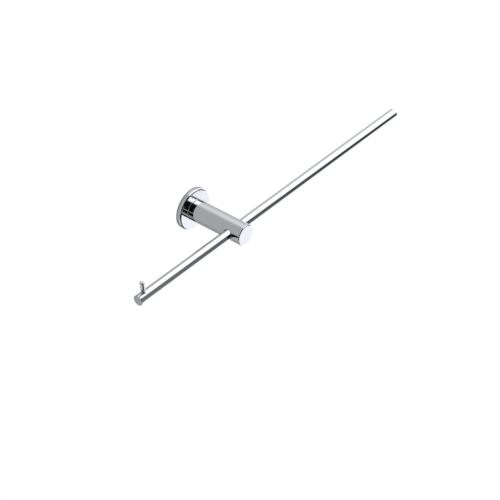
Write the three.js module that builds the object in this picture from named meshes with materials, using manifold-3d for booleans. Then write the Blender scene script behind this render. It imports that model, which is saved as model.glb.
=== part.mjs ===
// Wall-mounted holder for a roll of paper towel, in polished chrome.
//
// A round wall plate is screwed to the wall. A cup-shaped flange slides over it and is held by a
// small grub screw in its rim. A round post is bolted to the flange and stands straight out of the
// wall. One long rod passes crosswise through the post, held by a clamp screw under the post. A stop
// pin near the rod's left end keeps the roll from slipping off.
//
// Units are millimetres and +Z is up. The wall is the plane Y = 0 and the room is on its -Y side. The
// origin is the centre of the wall plate's back face. The rod runs along X.

import * as THREE from 'three';
import { mergeVertices } from 'three/addons/utils/BufferGeometryUtils.js';
import Module from 'manifold-3d';

// ---- driving dimensions ------------------------------------------------------------------------

const FLANGE_RADIUS = 25;
const FLANGE_DEPTH = 6.8;
const FLANGE_WEB = 2;
const FLANGE_RIM = 2.5;
const FLANGE_ROUNDING = 2;
const FLANGE_BACK_ROUNDING = 0.8;

const PLATE_THICKNESS = 3.6;
const PLATE_RADIUS = 22;
const PLATE_RECESS_RADIUS = 7;
const PLATE_RECESS_DEPTH = 2.6;
const PLATE_NOTCH_DEPTH = 1.3;
const WALL_HOLE_SPACING = 28;
const WALL_HOLE_RADIUS = 2.25;
const WALL_COUNTERSINK_RADIUS = 4.2;

const POST_RADIUS = 12.5;
const POST_END = 80;
const POST_ROUNDING = 1;

const ROD_RADIUS = 6;
const ROD_WALL = 1.5;
const ROD_FROM_WALL = 64;
const LEFT_ARM = 155;
const RIGHT_ARM = 300;
const BORE_CLEARANCE = 0.15;

const CAP_HEAD = 1.5;
const CAP_ROUNDING = 0.5;
const CAP_SHANK_RADIUS = 4.35;
const CAP_SHANK_LENGTH = 14;

const PIN_RADIUS = 2.6;
const PIN_SPIGOT_RADIUS = 1.9;
const PIN_SPIGOT_DEPTH = 2;
const PIN_FROM_END = 9.3;
const PIN_TOP = 20.3;
const PIN_TILT = THREE.MathUtils.degToRad(5);
const PIN_ROUNDING = 1.2;

const BOLT_RADIUS = 3;
const BOLT_LENGTH = 16;
const BOLT_HEAD_RADIUS = 5;
const BOLT_HEAD_HEIGHT = 2.2;
const BOLT_SOCKET_WIDTH = 4;
const BOLT_SOCKET_DEPTH = 1.4;
const WASHER_RADIUS = 5.6;
const WASHER_THICKNESS = 0.8;
const WASHER_TEETH = 12;
const WASHER_TOOTH_DEPTH = 1;

const DOWEL_RADIUS = 1.5;
const DOWEL_LENGTH = 7;
const DOWEL_OFFSET = 8;

const GRUB_RADIUS = 1.5;
const GRUB_LENGTH = 3.5;
const GRUB_TIP_RADIUS = 0.3;
const GRUB_TIP_DEPTH = 0.75;
const GRUB_FROM_WALL = 2.6;
const GRUB_SOCKET_WIDTH = 1.5;
const GRUB_SOCKET_DEPTH = 1.3;

const CLAMP_RADIUS = 2.5;
const CLAMP_LENGTH = 4;
const CLAMP_TIP_HEIGHT = 0.4;
const CLAMP_SOCKET_WIDTH = 2.5;
const CLAMP_SOCKET_DEPTH = 2;
const PAD_RADIUS = 2.3;
const PAD_THICKNESS = 1.2;
const PAD_EDGE = 0.2;

const SCREW_EDGE = 0.3;
const SEAT_GAP = 0.05;
const HOLE_CLEARANCE = 0.15;
const CUT_OVERRUN = 1;
const MERGE_DISTANCE = 0.00001;

const ROUND_LARGE = 72;
const ROUND_MEDIUM = 48;
const ROUND_SMALL = 24;
const CORNER_STEPS = 4;

// ---- values that follow from them ---------------------------------------------------------------

const CAVITY_RADIUS = FLANGE_RADIUS - FLANGE_RIM;
const CAVITY_DEPTH = FLANGE_DEPTH - FLANGE_WEB;
const BOLT_SEAT = -CAVITY_DEPTH + SEAT_GAP + WASHER_THICKNESS + SEAT_GAP;
const POST_START = FLANGE_DEPTH + SEAT_GAP;
const BORE_RADIUS = ROD_RADIUS + BORE_CLEARANCE;
const TUBE_INNER_RADIUS = ROD_RADIUS - ROD_WALL;
const PIN_STATION = PIN_FROM_END - LEFT_ARM;
const PIN_HOLE_RADIUS = PIN_SPIGOT_RADIUS + HOLE_CLEARANCE;
const PAD_TOP = -ROD_RADIUS - 2 * SEAT_GAP;
const CLAMP_TOP = PAD_TOP - PAD_THICKNESS - SEAT_GAP;
const GRUB_TIP = -(PLATE_RADIUS - GRUB_TIP_DEPTH);

// ---- finishes -------------------------------------------------------------------------------------

const CHROME = { color: 0xd9dbe0, roughness: 0.06, metalness: 1 };
const STEEL = { color: 0x9a9da2, roughness: 0.35, metalness: 1 };
const BLACK_STEEL = { color: 0x2b2c2f, roughness: 0.45, metalness: 1 };
const BRASS = { color: 0xb8975a, roughness: 0.3, metalness: 1 };

// ---- solids ---------------------------------------------------------------------------------------

const wasm = await Module();
wasm.setup();

/** A closed three.js geometry as a solid that can be cut and joined. */
function solid(geometry) {
  const bare = geometry.clone();
  bare.deleteAttribute('normal');
  bare.deleteAttribute('uv');
  const merged = mergeVertices(bare, MERGE_DISTANCE);
  const corners = merged.index.array;
  const triangles = [];
  for (let i = 0; i < corners.length; i += 3) {
    const [a, b, c] = [corners[i], corners[i + 1], corners[i + 2]];
    if (a !== b && b !== c && c !== a) {
      triangles.push(a, b, c);
    }
  }
  return new wasm.Manifold(new wasm.Mesh({
    numProp: 3,
    vertProperties: new Float32Array(merged.attributes.position.array),
    triVerts: new Uint32Array(triangles),
  }));
}

/** A solid turned back into a three.js geometry. */
function geometryOf(body) {
  const mesh = body.getMesh();
  const geometry = new THREE.BufferGeometry();
  geometry.setAttribute('position', new THREE.BufferAttribute(mesh.vertProperties, 3));
  geometry.setIndex(new THREE.BufferAttribute(mesh.triVerts, 1));
  geometry.computeVertexNormals();
  return geometry;
}

/** A solid of revolution about Y. The outline is [radius, y] pairs from the low end to the high end. */
function turned(outline, segments) {
  const points = outline.map(([radius, y]) => new THREE.Vector2(radius, y));
  return solid(new THREE.LatheGeometry(points, segments));
}

/** A plain round bar along Y from one height to another. */
function bar(radius, low, high, segments) {
  const geometry = new THREE.CylinderGeometry(radius, radius, high - low, segments);
  geometry.translate(0, (low + high) / 2, 0);
  return geometry;
}

/** A cone frustum along Y. */
function taper(lowRadius, highRadius, low, high, segments) {
  const geometry = new THREE.CylinderGeometry(highRadius, lowRadius, high - low, segments);
  geometry.translate(0, (low + high) / 2, 0);
  return geometry;
}

/** A six-sided prism along Y, for a hexagon socket of the given width across flats. */
function hexagon(width, low, high) {
  return bar(width / Math.sqrt(3), low, high, 6);
}

/** Outline points, in rising y, that round the outer corner at a solid's low (-1) or high (+1) end. */
function roundedCorner(radius, end, rounding, side) {
  const points = [];
  for (let i = 0; i <= CORNER_STEPS; i += 1) {
    const share = i / CORNER_STEPS;
    const angle = (side > 0 ? share : share - 1) * Math.PI / 2;
    points.push([
      radius - rounding + rounding * Math.cos(angle),
      end - side * rounding + rounding * Math.sin(angle),
    ]);
  }
  return points;
}

/** A named mesh from a finished solid. */
function piece(name, body, finish) {
  const mesh = new THREE.Mesh(geometryOf(body), new THREE.MeshStandardMaterial(finish));
  mesh.name = name;
  return mesh;
}

// ---- pieces whose axis is the post's axis (local Y is the frame's Y) ------------------------------

/** Disc against the wall: recess for the bolt head, two countersunk holes, and a notch at the bottom. */
function wallPlate() {
  const front = -PLATE_THICKNESS;
  let body = solid(bar(PLATE_RADIUS, front, 0, ROUND_LARGE));
  const recessFloor = front + PLATE_RECESS_DEPTH;
  body = body.subtract(solid(bar(PLATE_RECESS_RADIUS, front - CUT_OVERRUN, recessFloor, ROUND_MEDIUM)));
  for (const side of [-1, 1]) {
    const x = side * WALL_HOLE_SPACING / 2;
    const hole = bar(WALL_HOLE_RADIUS, front - CUT_OVERRUN, CUT_OVERRUN, ROUND_SMALL);
    hole.translate(x, 0, 0);
    const sinkDepth = WALL_COUNTERSINK_RADIUS - WALL_HOLE_RADIUS;
    const sink = taper(
      WALL_COUNTERSINK_RADIUS + CUT_OVERRUN,
      WALL_HOLE_RADIUS,
      front - CUT_OVERRUN,
      front + sinkDepth,
      ROUND_SMALL,
    );
    sink.translate(x, 0, 0);
    body = body.subtract(solid(hole)).subtract(solid(sink));
  }
  const notchSide = PLATE_NOTCH_DEPTH * Math.SQRT2;
  const notch = new THREE.BoxGeometry(notchSide, PLATE_THICKNESS + 2 * CUT_OVERRUN, notchSide);
  notch.rotateY(Math.PI / 4);
  notch.translate(0, -PLATE_THICKNESS / 2, -PLATE_RADIUS);
  return body.subtract(solid(notch));
}

/** Cup over the wall plate, with holes for the post bolt, the dowel and the grub screw in its rim. */
function flange() {
  const front = -FLANGE_DEPTH;
  let body = turned([
    [0, front],
    ...roundedCorner(FLANGE_RADIUS, front, FLANGE_ROUNDING, -1),
    ...roundedCorner(FLANGE_RADIUS, 0, FLANGE_BACK_ROUNDING, 1),
    [CAVITY_RADIUS, 0],
    [CAVITY_RADIUS, -CAVITY_DEPTH],
    [0, -CAVITY_DEPTH],
  ], ROUND_LARGE);
  const boltHole = bar(BOLT_RADIUS + HOLE_CLEARANCE, front - CUT_OVERRUN, 0, ROUND_SMALL);
  const dowelHole = bar(DOWEL_RADIUS + HOLE_CLEARANCE, front - CUT_OVERRUN, 0, ROUND_SMALL);
  dowelHole.translate(0, 0, DOWEL_OFFSET);
  const grubHole = bar(
    GRUB_RADIUS + HOLE_CLEARANCE,
    CAVITY_RADIUS - CUT_OVERRUN,
    FLANGE_RADIUS + CUT_OVERRUN,
    ROUND_SMALL,
  );
  grubHole.rotateX(-Math.PI / 2);
  grubHole.translate(0, -GRUB_FROM_WALL, 0);
  body = body.subtract(solid(boltHole)).subtract(solid(dowelHole));
  return body.subtract(solid(grubHole));
}

/** Solid post: cross bore for the rod, bolt and dowel holes in its inner end, clamp hole underneath. */
function post() {
  const inner = -POST_START;
  let body = turned([
    [0, -POST_END],
    ...roundedCorner(POST_RADIUS, -POST_END, POST_ROUNDING, -1),
    ...roundedCorner(POST_RADIUS, inner, POST_ROUNDING, 1),
    [0, inner],
  ], ROUND_LARGE);
  const bore = bar(BORE_RADIUS, -POST_RADIUS - CUT_OVERRUN, POST_RADIUS + CUT_OVERRUN, ROUND_MEDIUM);
  bore.rotateZ(-Math.PI / 2);
  bore.translate(0, -ROD_FROM_WALL, 0);
  body = body.subtract(solid(bore));
  const boltDepth = BOLT_SEAT - BOLT_LENGTH - CUT_OVERRUN;
  const boltHole = bar(BOLT_RADIUS + HOLE_CLEARANCE, boltDepth, 0, ROUND_SMALL);
  const dowelEnd = -CAVITY_DEPTH - DOWEL_LENGTH - CUT_OVERRUN;
  const dowelHole = bar(DOWEL_RADIUS + HOLE_CLEARANCE, dowelEnd, 0, ROUND_SMALL);
  dowelHole.translate(0, 0, DOWEL_OFFSET);
  const clampHole = bar(
    CLAMP_RADIUS + HOLE_CLEARANCE,
    -POST_RADIUS - CUT_OVERRUN,
    -ROD_RADIUS + CUT_OVERRUN,
    ROUND_SMALL,
  );
  clampHole.rotateX(Math.PI / 2);
  clampHole.translate(0, -ROD_FROM_WALL, 0);
  body = body.subtract(solid(boltHole)).subtract(solid(dowelHole));
  return body.subtract(solid(clampHole));
}

/** Low-headed bolt that draws the post onto the flange from inside the cup. */
function postBolt() {
  const headTop = BOLT_SEAT + BOLT_HEAD_HEIGHT;
  const tip = BOLT_SEAT - BOLT_LENGTH;
  const body = turned([
    [0, tip],
    [BOLT_RADIUS - 2 * SCREW_EDGE, tip],
    [BOLT_RADIUS, tip + 2 * SCREW_EDGE],
    [BOLT_RADIUS, BOLT_SEAT],
    [BOLT_HEAD_RADIUS, BOLT_SEAT],
    [BOLT_HEAD_RADIUS, headTop - SCREW_EDGE],
    [BOLT_HEAD_RADIUS - SCREW_EDGE, headTop],
    [0, headTop],
  ], ROUND_MEDIUM);
  const socket = hexagon(BOLT_SOCKET_WIDTH, headTop - BOLT_SOCKET_DEPTH, headTop + CUT_OVERRUN);
  return body.subtract(solid(socket));
}

/** Toothed lock washer under the bolt head. */
function lockWasher() {
  const outline = new THREE.Shape();
  const steps = WASHER_TEETH * 2;
  for (let i = 0; i < steps; i += 1) {
    const angle = i * 2 * Math.PI / steps;
    const radius = i % 2 ? WASHER_RADIUS - WASHER_TOOTH_DEPTH : WASHER_RADIUS;
    const point = [radius * Math.cos(angle), radius * Math.sin(angle)];
    if (i === 0) {
      outline.moveTo(...point);
    } else {
      outline.lineTo(...point);
    }
  }
  const hole = new THREE.Path();
  hole.absarc(0, 0, BOLT_RADIUS + HOLE_CLEARANCE, 0, 2 * Math.PI);
  outline.holes.push(hole);
  const geometry = new THREE.ExtrudeGeometry(outline, {
    depth: WASHER_THICKNESS,
    bevelEnabled: false,
    curveSegments: ROUND_SMALL,
  });
  geometry.rotateX(Math.PI / 2);
  geometry.translate(0, BOLT_SEAT - SEAT_GAP, 0);
  return solid(geometry);
}

/** Dowel that keeps the post from turning on the flange under the roll's weight. */
function dowel() {
  const start = -CAVITY_DEPTH - SCREW_EDGE;
  const end = start - DOWEL_LENGTH;
  return turned([
    [0, end],
    [DOWEL_RADIUS - SCREW_EDGE, end],
    [DOWEL_RADIUS, end + SCREW_EDGE],
    [DOWEL_RADIUS, start - SCREW_EDGE],
    [DOWEL_RADIUS - SCREW_EDGE, start],
    [0, start],
  ], ROUND_SMALL);
}

// ---- pieces of the rod (local Y is the rod's axis, pointing to its right end; local Z is up) ---------

/** Round bar along the stop pin's leaning axis, in the rod's frame. */
function alongPin(radius, low, high) {
  const geometry = bar(radius, low, high, ROUND_SMALL);
  geometry.rotateX(Math.PI / 2 + PIN_TILT);
  geometry.translate(0, PIN_STATION, 0);
  return geometry;
}

/** Straight tube between the two end caps, with a hole for the stop pin's spigot. */
function rodTube() {
  const low = -LEFT_ARM + CAP_HEAD + SEAT_GAP;
  const high = RIGHT_ARM - CAP_HEAD - SEAT_GAP;
  const outside = solid(bar(ROD_RADIUS, low, high, ROUND_MEDIUM));
  const inside = bar(TUBE_INNER_RADIUS, low - CUT_OVERRUN, high + CUT_OVERRUN, ROUND_MEDIUM);
  return outside.subtract(solid(inside)).subtract(solid(alongPin(PIN_HOLE_RADIUS, 0, 2 * ROD_RADIUS)));
}

/** Cap with its head at Y = 0 facing +Y and its shank reaching back into the tube. */
function endCap() {
  return turned([
    [0, -CAP_HEAD - CAP_SHANK_LENGTH],
    [CAP_SHANK_RADIUS - CAP_ROUNDING, -CAP_HEAD - CAP_SHANK_LENGTH],
    [CAP_SHANK_RADIUS, -CAP_HEAD - CAP_SHANK_LENGTH + CAP_ROUNDING],
    [CAP_SHANK_RADIUS, -CAP_HEAD],
    [ROD_RADIUS, -CAP_HEAD],
    ...roundedCorner(ROD_RADIUS, 0, CAP_ROUNDING, 1),
    [0, 0],
  ], ROUND_MEDIUM);
}

/** The left cap also takes the stop pin's spigot, in a blind hole across its shank. */
function endCapWithPinHole() {
  const hole = bar(PIN_HOLE_RADIUS, -PIN_SPIGOT_DEPTH - HOLE_CLEARANCE, ROD_RADIUS, ROUND_SMALL);
  hole.rotateX(Math.PI / 2 - PIN_TILT);
  hole.translate(0, -PIN_FROM_END, 0);
  return endCap().subtract(solid(hole));
}

/** Leaning stop pin: a round head with a saddle foot on the tube and a spigot into the left cap. */
function stopPin() {
  const shoulder = ROD_RADIUS / 2;
  const head = turned([
    [0, shoulder],
    [PIN_RADIUS, shoulder],
    ...roundedCorner(PIN_RADIUS, PIN_TOP, PIN_ROUNDING, 1),
    [0, PIN_TOP],
  ], ROUND_MEDIUM);
  const tubeSurface = bar(ROD_RADIUS + SEAT_GAP, -2 * ROD_RADIUS, 2 * ROD_RADIUS, ROUND_MEDIUM);
  tubeSurface.rotateX(-Math.PI / 2 - PIN_TILT);
  const spigot = bar(PIN_SPIGOT_RADIUS, -PIN_SPIGOT_DEPTH, 2 * ROD_RADIUS, ROUND_SMALL);
  return head.subtract(solid(tubeSurface)).add(solid(spigot));
}

// ---- screws with a hexagon socket (local Y points from the tip to the socket) ----------------------

/** Headless screw with its tip at Y = 0 and its socket at the other end. */
function grubScrew(radius, length, tipRadius, tipHeight, socketWidth, socketDepth) {
  const body = turned([
    [0, 0],
    [tipRadius, 0],
    [radius, tipHeight],
    [radius, length - SCREW_EDGE],
    [radius - SCREW_EDGE, length],
    [0, length],
  ], ROUND_SMALL);
  return body.subtract(solid(hexagon(socketWidth, length - socketDepth, length + CUT_OVERRUN)));
}

/** Cone-pointed grub screw whose tip sits in the wall plate's notch. */
function flangeGrubScrew() {
  return grubScrew(
    GRUB_RADIUS,
    GRUB_LENGTH,
    GRUB_TIP_RADIUS,
    GRUB_RADIUS - GRUB_TIP_RADIUS,
    GRUB_SOCKET_WIDTH,
    GRUB_SOCKET_DEPTH,
  );
}

/** Flat-pointed screw that presses the pad against the rod. */
function rodClampScrew() {
  return grubScrew(
    CLAMP_RADIUS,
    CLAMP_LENGTH,
    CLAMP_RADIUS - CLAMP_TIP_HEIGHT,
    CLAMP_TIP_HEIGHT,
    CLAMP_SOCKET_WIDTH,
    CLAMP_SOCKET_DEPTH,
  );
}

/** Soft pad between the clamp screw and the rod, so that the screw doesn't mark the chrome. */
function rodClampPad() {
  return turned([
    [0, 0],
    [PAD_RADIUS - PAD_EDGE, 0],
    [PAD_RADIUS, PAD_EDGE],
    [PAD_RADIUS, PAD_THICKNESS - PAD_EDGE],
    [PAD_RADIUS - PAD_EDGE, PAD_THICKNESS],
    [0, PAD_THICKNESS],
  ], ROUND_SMALL);
}

// ---- assembly -----------------------------------------------------------------------------------------

const holder = new THREE.Group();
holder.name = 'paper_towel_holder';
holder.add(
  piece('wall_plate', wallPlate(), STEEL),
  piece('flange', flange(), CHROME),
  piece('post', post(), CHROME),
  piece('post_bolt', postBolt(), STEEL),
  piece('post_lock_washer', lockWasher(), STEEL),
);

const postDowel = piece('post_dowel', dowel(), STEEL);
postDowel.position.z = DOWEL_OFFSET;
holder.add(postDowel);

const flangeGrub = piece('flange_grub_screw', flangeGrubScrew(), BLACK_STEEL);
flangeGrub.position.set(0, -GRUB_FROM_WALL, GRUB_TIP);
flangeGrub.rotation.x = -Math.PI / 2;
holder.add(flangeGrub);

const clamp = new THREE.Group();
clamp.position.set(0, -ROD_FROM_WALL, 0);
clamp.rotation.x = -Math.PI / 2;
const clampScrew = piece('rod_clamp_screw', rodClampScrew(), BLACK_STEEL);
clampScrew.position.y = -CLAMP_TOP;
const clampPad = piece('rod_clamp_pad', rodClampPad(), BRASS);
clampPad.position.y = -PAD_TOP;
clamp.add(clampScrew, clampPad);
holder.add(clamp);

const rod = new THREE.Group();
rod.position.set(0, -ROD_FROM_WALL, 0);
rod.rotation.z = -Math.PI / 2;
const rightCap = piece('rod_end_cap_right', endCap(), CHROME);
rightCap.position.y = RIGHT_ARM;
const leftCap = piece('rod_end_cap_left', endCapWithPinHole(), CHROME);
leftCap.position.y = -LEFT_ARM;
leftCap.rotation.z = Math.PI;
const pin = piece('stop_pin', stopPin(), CHROME);
pin.position.y = PIN_STATION;
pin.rotation.x = Math.PI / 2 + PIN_TILT;
rod.add(piece('rod_tube', rodTube(), CHROME), leftCap, rightCap, pin);
holder.add(rod);

export default holder;
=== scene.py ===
"""Looks of the wall-mounted paper towel holder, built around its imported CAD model.

Everything is in metres in the CAD frame: +X along the rod to its right end, +Y into the wall, +Z up, with the
origin at the centre of the wall plate's back. Places come from the boxes of the CAD nodes. Chrome shows every
facet, so every piece except the lock washer is rebuilt here as a fine mesh with exact normals. The studio is
a light that depends on direction alone, so the chrome mirrors the same room wherever it stands.
"""

import math
from collections import namedtuple

import bpy
from mathutils import Matrix, Vector
from mathutils.geometry import normal as face_normal, tessellate_polygon


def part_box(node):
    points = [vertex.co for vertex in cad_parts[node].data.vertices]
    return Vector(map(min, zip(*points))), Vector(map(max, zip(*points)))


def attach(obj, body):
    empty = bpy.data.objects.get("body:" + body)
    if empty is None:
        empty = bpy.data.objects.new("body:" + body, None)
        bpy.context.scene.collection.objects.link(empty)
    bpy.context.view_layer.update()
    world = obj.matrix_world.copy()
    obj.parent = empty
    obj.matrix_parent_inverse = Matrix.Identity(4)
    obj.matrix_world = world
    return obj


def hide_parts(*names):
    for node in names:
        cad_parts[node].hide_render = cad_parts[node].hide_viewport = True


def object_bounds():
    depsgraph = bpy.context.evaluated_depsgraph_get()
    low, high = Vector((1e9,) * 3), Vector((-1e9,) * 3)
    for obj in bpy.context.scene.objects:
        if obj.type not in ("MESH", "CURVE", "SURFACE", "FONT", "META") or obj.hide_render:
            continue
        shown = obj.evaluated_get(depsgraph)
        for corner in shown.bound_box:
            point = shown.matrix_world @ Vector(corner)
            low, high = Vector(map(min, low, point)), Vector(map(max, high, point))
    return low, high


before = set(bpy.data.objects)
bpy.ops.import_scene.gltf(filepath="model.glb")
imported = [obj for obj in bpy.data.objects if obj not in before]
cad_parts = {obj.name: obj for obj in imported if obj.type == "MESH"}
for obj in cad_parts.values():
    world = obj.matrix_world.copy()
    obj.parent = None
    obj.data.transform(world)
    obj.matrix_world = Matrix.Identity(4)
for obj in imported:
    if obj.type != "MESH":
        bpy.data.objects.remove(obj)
cad_low, cad_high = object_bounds()

MM = 0.001
TINY = 1e-9
ANGLE_DIGITS = 9
FULL_TURN = 2 * math.pi
OUT_OF_WALL = Vector((0, -1, 0))
RIGHT = Vector((1, 0, 0))
UP = Vector((0, 0, 1))

# ---- sizes that the CAD boxes don't give ----------------------------------------------------------------
# Holes, recesses and round parts are given by their radius, and an EDGE is the radius of a rounded edge.

FLANGE_WEB = 2 * MM
FLANGE_RIM = 2.5 * MM
FLANGE_EDGE = 2 * MM
FLANGE_BACK_EDGE = 0.8 * MM
# How close to the wall the flange's chrome is darkened with painted shade.
WALL_SHADE_REACH = 2.6 * MM
POST_EDGE = 1 * MM
BORE_GAP = 0.15 * MM
MOUTH_EDGE = 0.8 * MM
HOLE_GAP = 0.15 * MM
HOLE_EDGE = 0.2 * MM
DRILL_OVERRUN = 1 * MM
DRILL_POINT = 0.5  # a drilled hole's pointed end, in radii of the hole
TUBE_WALL = 1.5 * MM
TUBE_EDGE = 0.08 * MM
CAP_HEAD = 1.5 * MM
CAP_EDGE = 0.5 * MM
CAP_SHANK = 4.35 * MM
PIN_TILT = math.radians(5)
PIN_EDGE = 1.2 * MM
PIN_SPIGOT = 1.9 * MM
PIN_SPIGOT_DEPTH = 2 * MM
SEAT_GAP = 0.05 * MM

PLATE_NOTCH = 1.3 * MM
PLATE_RECESS = 7 * MM
PLATE_RECESS_DEPTH = 2.6 * MM
WALL_HOLE = 2.25 * MM
WALL_HOLE_OFFSET = 14 * MM
WALL_SINK = 4.2 * MM

# A point is a screw's tip, as radius and height. A socket is a hexagon, as width across its flats and depth.
BOLT_RADIUS = 3 * MM
BOLT_SHANK = 16 * MM
BOLT_PITCH = 1 * MM
BOLT_SOCKET = (4 * MM, 1.4 * MM)
GRUB_POINT = (0.3 * MM, 1.2 * MM)
GRUB_PITCH = 0.5 * MM
GRUB_SOCKET = (1.5 * MM, 1.3 * MM)
CLAMP_POINT = (2.1 * MM, 0.4 * MM)
CLAMP_PITCH = 0.8 * MM
CLAMP_SOCKET = (2.5 * MM, 2 * MM)
SCREW_EDGE = 0.3 * MM
THREAD_DEPTH = 0.14  # in radii of the screw
THREAD_STEPS = 8  # rings per turn of the thread

# ---- how finely the meshes are cut ----------------------------------------------------------------------

ROUND_POST = 192
ROUND_ROD = 96
ROUND_HOLE = 48
ARC_STEPS = 6
PATCH_RINGS = 6

# A hole in a round wall takes the place of a block of the wall's grid: all its rows, and so many columns to
# each side of the hole.
GRUB_ROWS = 16
GRUB_BLOCK_WIDTH = 2  # in radii of the hole
POST_ROWS = 42
MOUTH_COLUMNS = 21
CLAMP_COLUMNS = 10
SPIGOT_ROWS = 24
TUBE_COLUMNS = 8
SHANK_COLUMNS = 12

# How far a block goes along the wall: past the bore's own radius, and for the other holes in their radii.
BORE_BLOCK_MARGIN = 2 * MM
CLAMP_BLOCK = 1.4
TUBE_BLOCK = 1.5
SHANK_BLOCK = 1.4
CLAMP_BLOCK_START = math.radians(147)  # round the bore from its top

# ---- mesh building ------------------------------------------------------------------------------------

# A hole in a round wall: the angle and station of its axis, its radius, and its block's columns and rows.
Hole = namedtuple("Hole", "angle station radius left right low high")

# A finished hole's rim: the way round the hole's axis to each of its points, and the points.
Rim = namedtuple("Rim", "hole ways ring")

# A corner of an outline, with the normals of the stretches before and after it.
Corner = namedtuple("Corner", "station radius before after")


def way_round(across, along):
    """An angle from 0 to a full turn. Rounding keeps a hair below 0 from coming out as a full turn."""
    return round(math.atan2(across, along), ANGLE_DIGITS) % FULL_TURN


class Skin:
    """Collects points and faces, with a normal for each corner of each face, and makes an object of them."""

    def __init__(self):
        self.points = []
        self.faces = []
        self.normals = []

    def ring(self, points):
        """Adds points and returns their numbers."""
        first = len(self.points)
        self.points.extend(points)
        return list(range(first, len(self.points)))

    def face(self, corners, normals):
        """Adds a face that looks the way its normals point, without corners that repeat."""
        kept = [i for i in range(len(corners)) if corners[i] != corners[i - 1]]
        if len(kept) < 3:
            return
        loop = [corners[i] for i in kept]
        ways = [normals[i] for i in kept]
        if face_normal([self.points[i] for i in loop]).dot(sum(ways, Vector((0, 0, 0)))) < 0:
            loop.reverse()
            ways.reverse()
        self.faces.append(loop)
        self.normals.append(ways)

    def strip(self, first, second, first_normals, second_normals):
        """Joins two closed rings of equally many points."""
        for i in range(len(first)):
            j = (i + 1) % len(first)
            self.face(
                [first[i], first[j], second[j], second[i]],
                [first_normals[i], first_normals[j], second_normals[j], second_normals[i]],
            )

    def flat(self, outline, holes, normal):
        """Fills a flat outline, leaving its holes open."""
        numbers = [i for loop in (outline, *holes) for i in loop]
        loops = [[self.points[i] for i in loop] for loop in (outline, *holes)]
        for triangle in tessellate_polygon(loops):
            self.face([numbers[i] for i in triangle], [normal] * 3)

    def build(self, name, material):
        """Makes the object in place."""
        mesh = bpy.data.meshes.new(name)
        mesh.from_pydata(self.points, [], self.faces)
        mesh.polygons.foreach_set("use_smooth", [True] * len(mesh.polygons))
        mesh.normals_split_custom_set([n.normalized() for ways in self.normals for n in ways])
        mesh.materials.append(material)
        piece = bpy.data.objects.new(name, mesh)
        bpy.context.scene.collection.objects.link(piece)
        return piece


class Wall:
    """A round wall about an axis: the outside of a bar, facing 1, or the inside of a bore, facing -1."""

    def __init__(self, centre, axis, start, radius, facing=1):
        self.centre = Vector(centre)
        self.axis = axis
        self.start = start
        self.side = axis.cross(start)
        self.radius = radius
        self.facing = facing

    def spoke(self, angle):
        """The direction away from the axis at an angle."""
        return self.start * math.cos(angle) + self.side * math.sin(angle)

    def point(self, angle, station):
        """The wall's point at an angle and a station along the axis."""
        return self.centre + self.axis * station + self.spoke(angle) * self.radius

    def normal(self, angle):
        """The way the wall faces at an angle."""
        return self.spoke(angle) * self.facing

    def bearing(self, direction):
        """The angle of a direction, from 0 to a full turn."""
        return way_round(direction.dot(self.side), direction.dot(self.start))

    def round_hole(self, hole, way, radius):
        """The angle and station of a point of the wall at a way and distance round the axis of a hole."""
        across = radius * math.sin(way) / self.radius
        return hole.angle + math.asin(across), hole.station + radius * math.cos(way)

    def hole_way(self, hole, way):
        """A way round a hole's axis as a direction."""
        across = self.axis.cross(self.spoke(hole.angle))
        return self.axis * math.cos(way) + across * math.sin(way)


def even(count, low=0.0, high=FULL_TURN, closed=True):
    """Evenly spaced values, without the last one if they close on the first."""
    steps = count if closed else count - 1
    return [low + (high - low) * i / steps for i in range(count)]


def rounded(corners):
    """An outline of (station, radius, rounding) corners with its corners rounded.

    The outline runs with the material on its right hand. The first and the last corner are never rounded.
    """
    flat = [Vector((station, radius)) for station, radius, _ in corners]
    ways = [(end - start).normalized() for start, end in zip(flat, flat[1:])]
    outward = [Vector((-way.y, way.x)) for way in ways]
    result = []
    for i, (station, radius, rounding) in enumerate(corners):
        before = outward[max(i - 1, 0)]
        after = outward[min(i, len(outward) - 1)]
        if not rounding:
            result.append(Corner(station, radius, before, after))
            continue
        turn = math.atan2(before.cross(after), before.dot(after))
        side = 1 if turn < 0 else -1
        start = flat[i] - ways[i - 1] * rounding * math.tan(abs(turn) / 2)
        centre = start - before * rounding * side
        for step in range(ARC_STEPS + 1):
            normal = Matrix.Rotation(turn * step / ARC_STEPS, 2) @ before
            point = centre + normal * rounding * side
            result.append(Corner(point.x, point.y, normal, normal))
    return result


def revolve(skin, wall, outline, angles, first=None, last=None):
    """Turns an outline about the wall's axis and returns its first and last ring.

    first and last are rings of the skin that the shape starts from or ends on.
    """
    spokes = [wall.spoke(angle) for angle in angles]
    rings = []
    for i, corner in enumerate(outline):
        middle = wall.centre + wall.axis * corner.station
        if first and i == 0:
            rings.append(first)
        elif last and i == len(outline) - 1:
            rings.append(last)
        elif corner.radius < TINY:
            rings.append(skin.ring([middle]) * len(angles))
        else:
            rings.append(skin.ring([middle + spoke * corner.radius for spoke in spokes]))
    for i in range(len(outline) - 1):
        leaving, coming = outline[i].after, outline[i + 1].before
        skin.strip(
            rings[i],
            rings[i + 1],
            [wall.axis * leaving.x + spoke * leaving.y for spoke in spokes],
            [wall.axis * coming.x + spoke * coming.y for spoke in spokes],
        )
    return rings[0], rings[-1]


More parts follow.
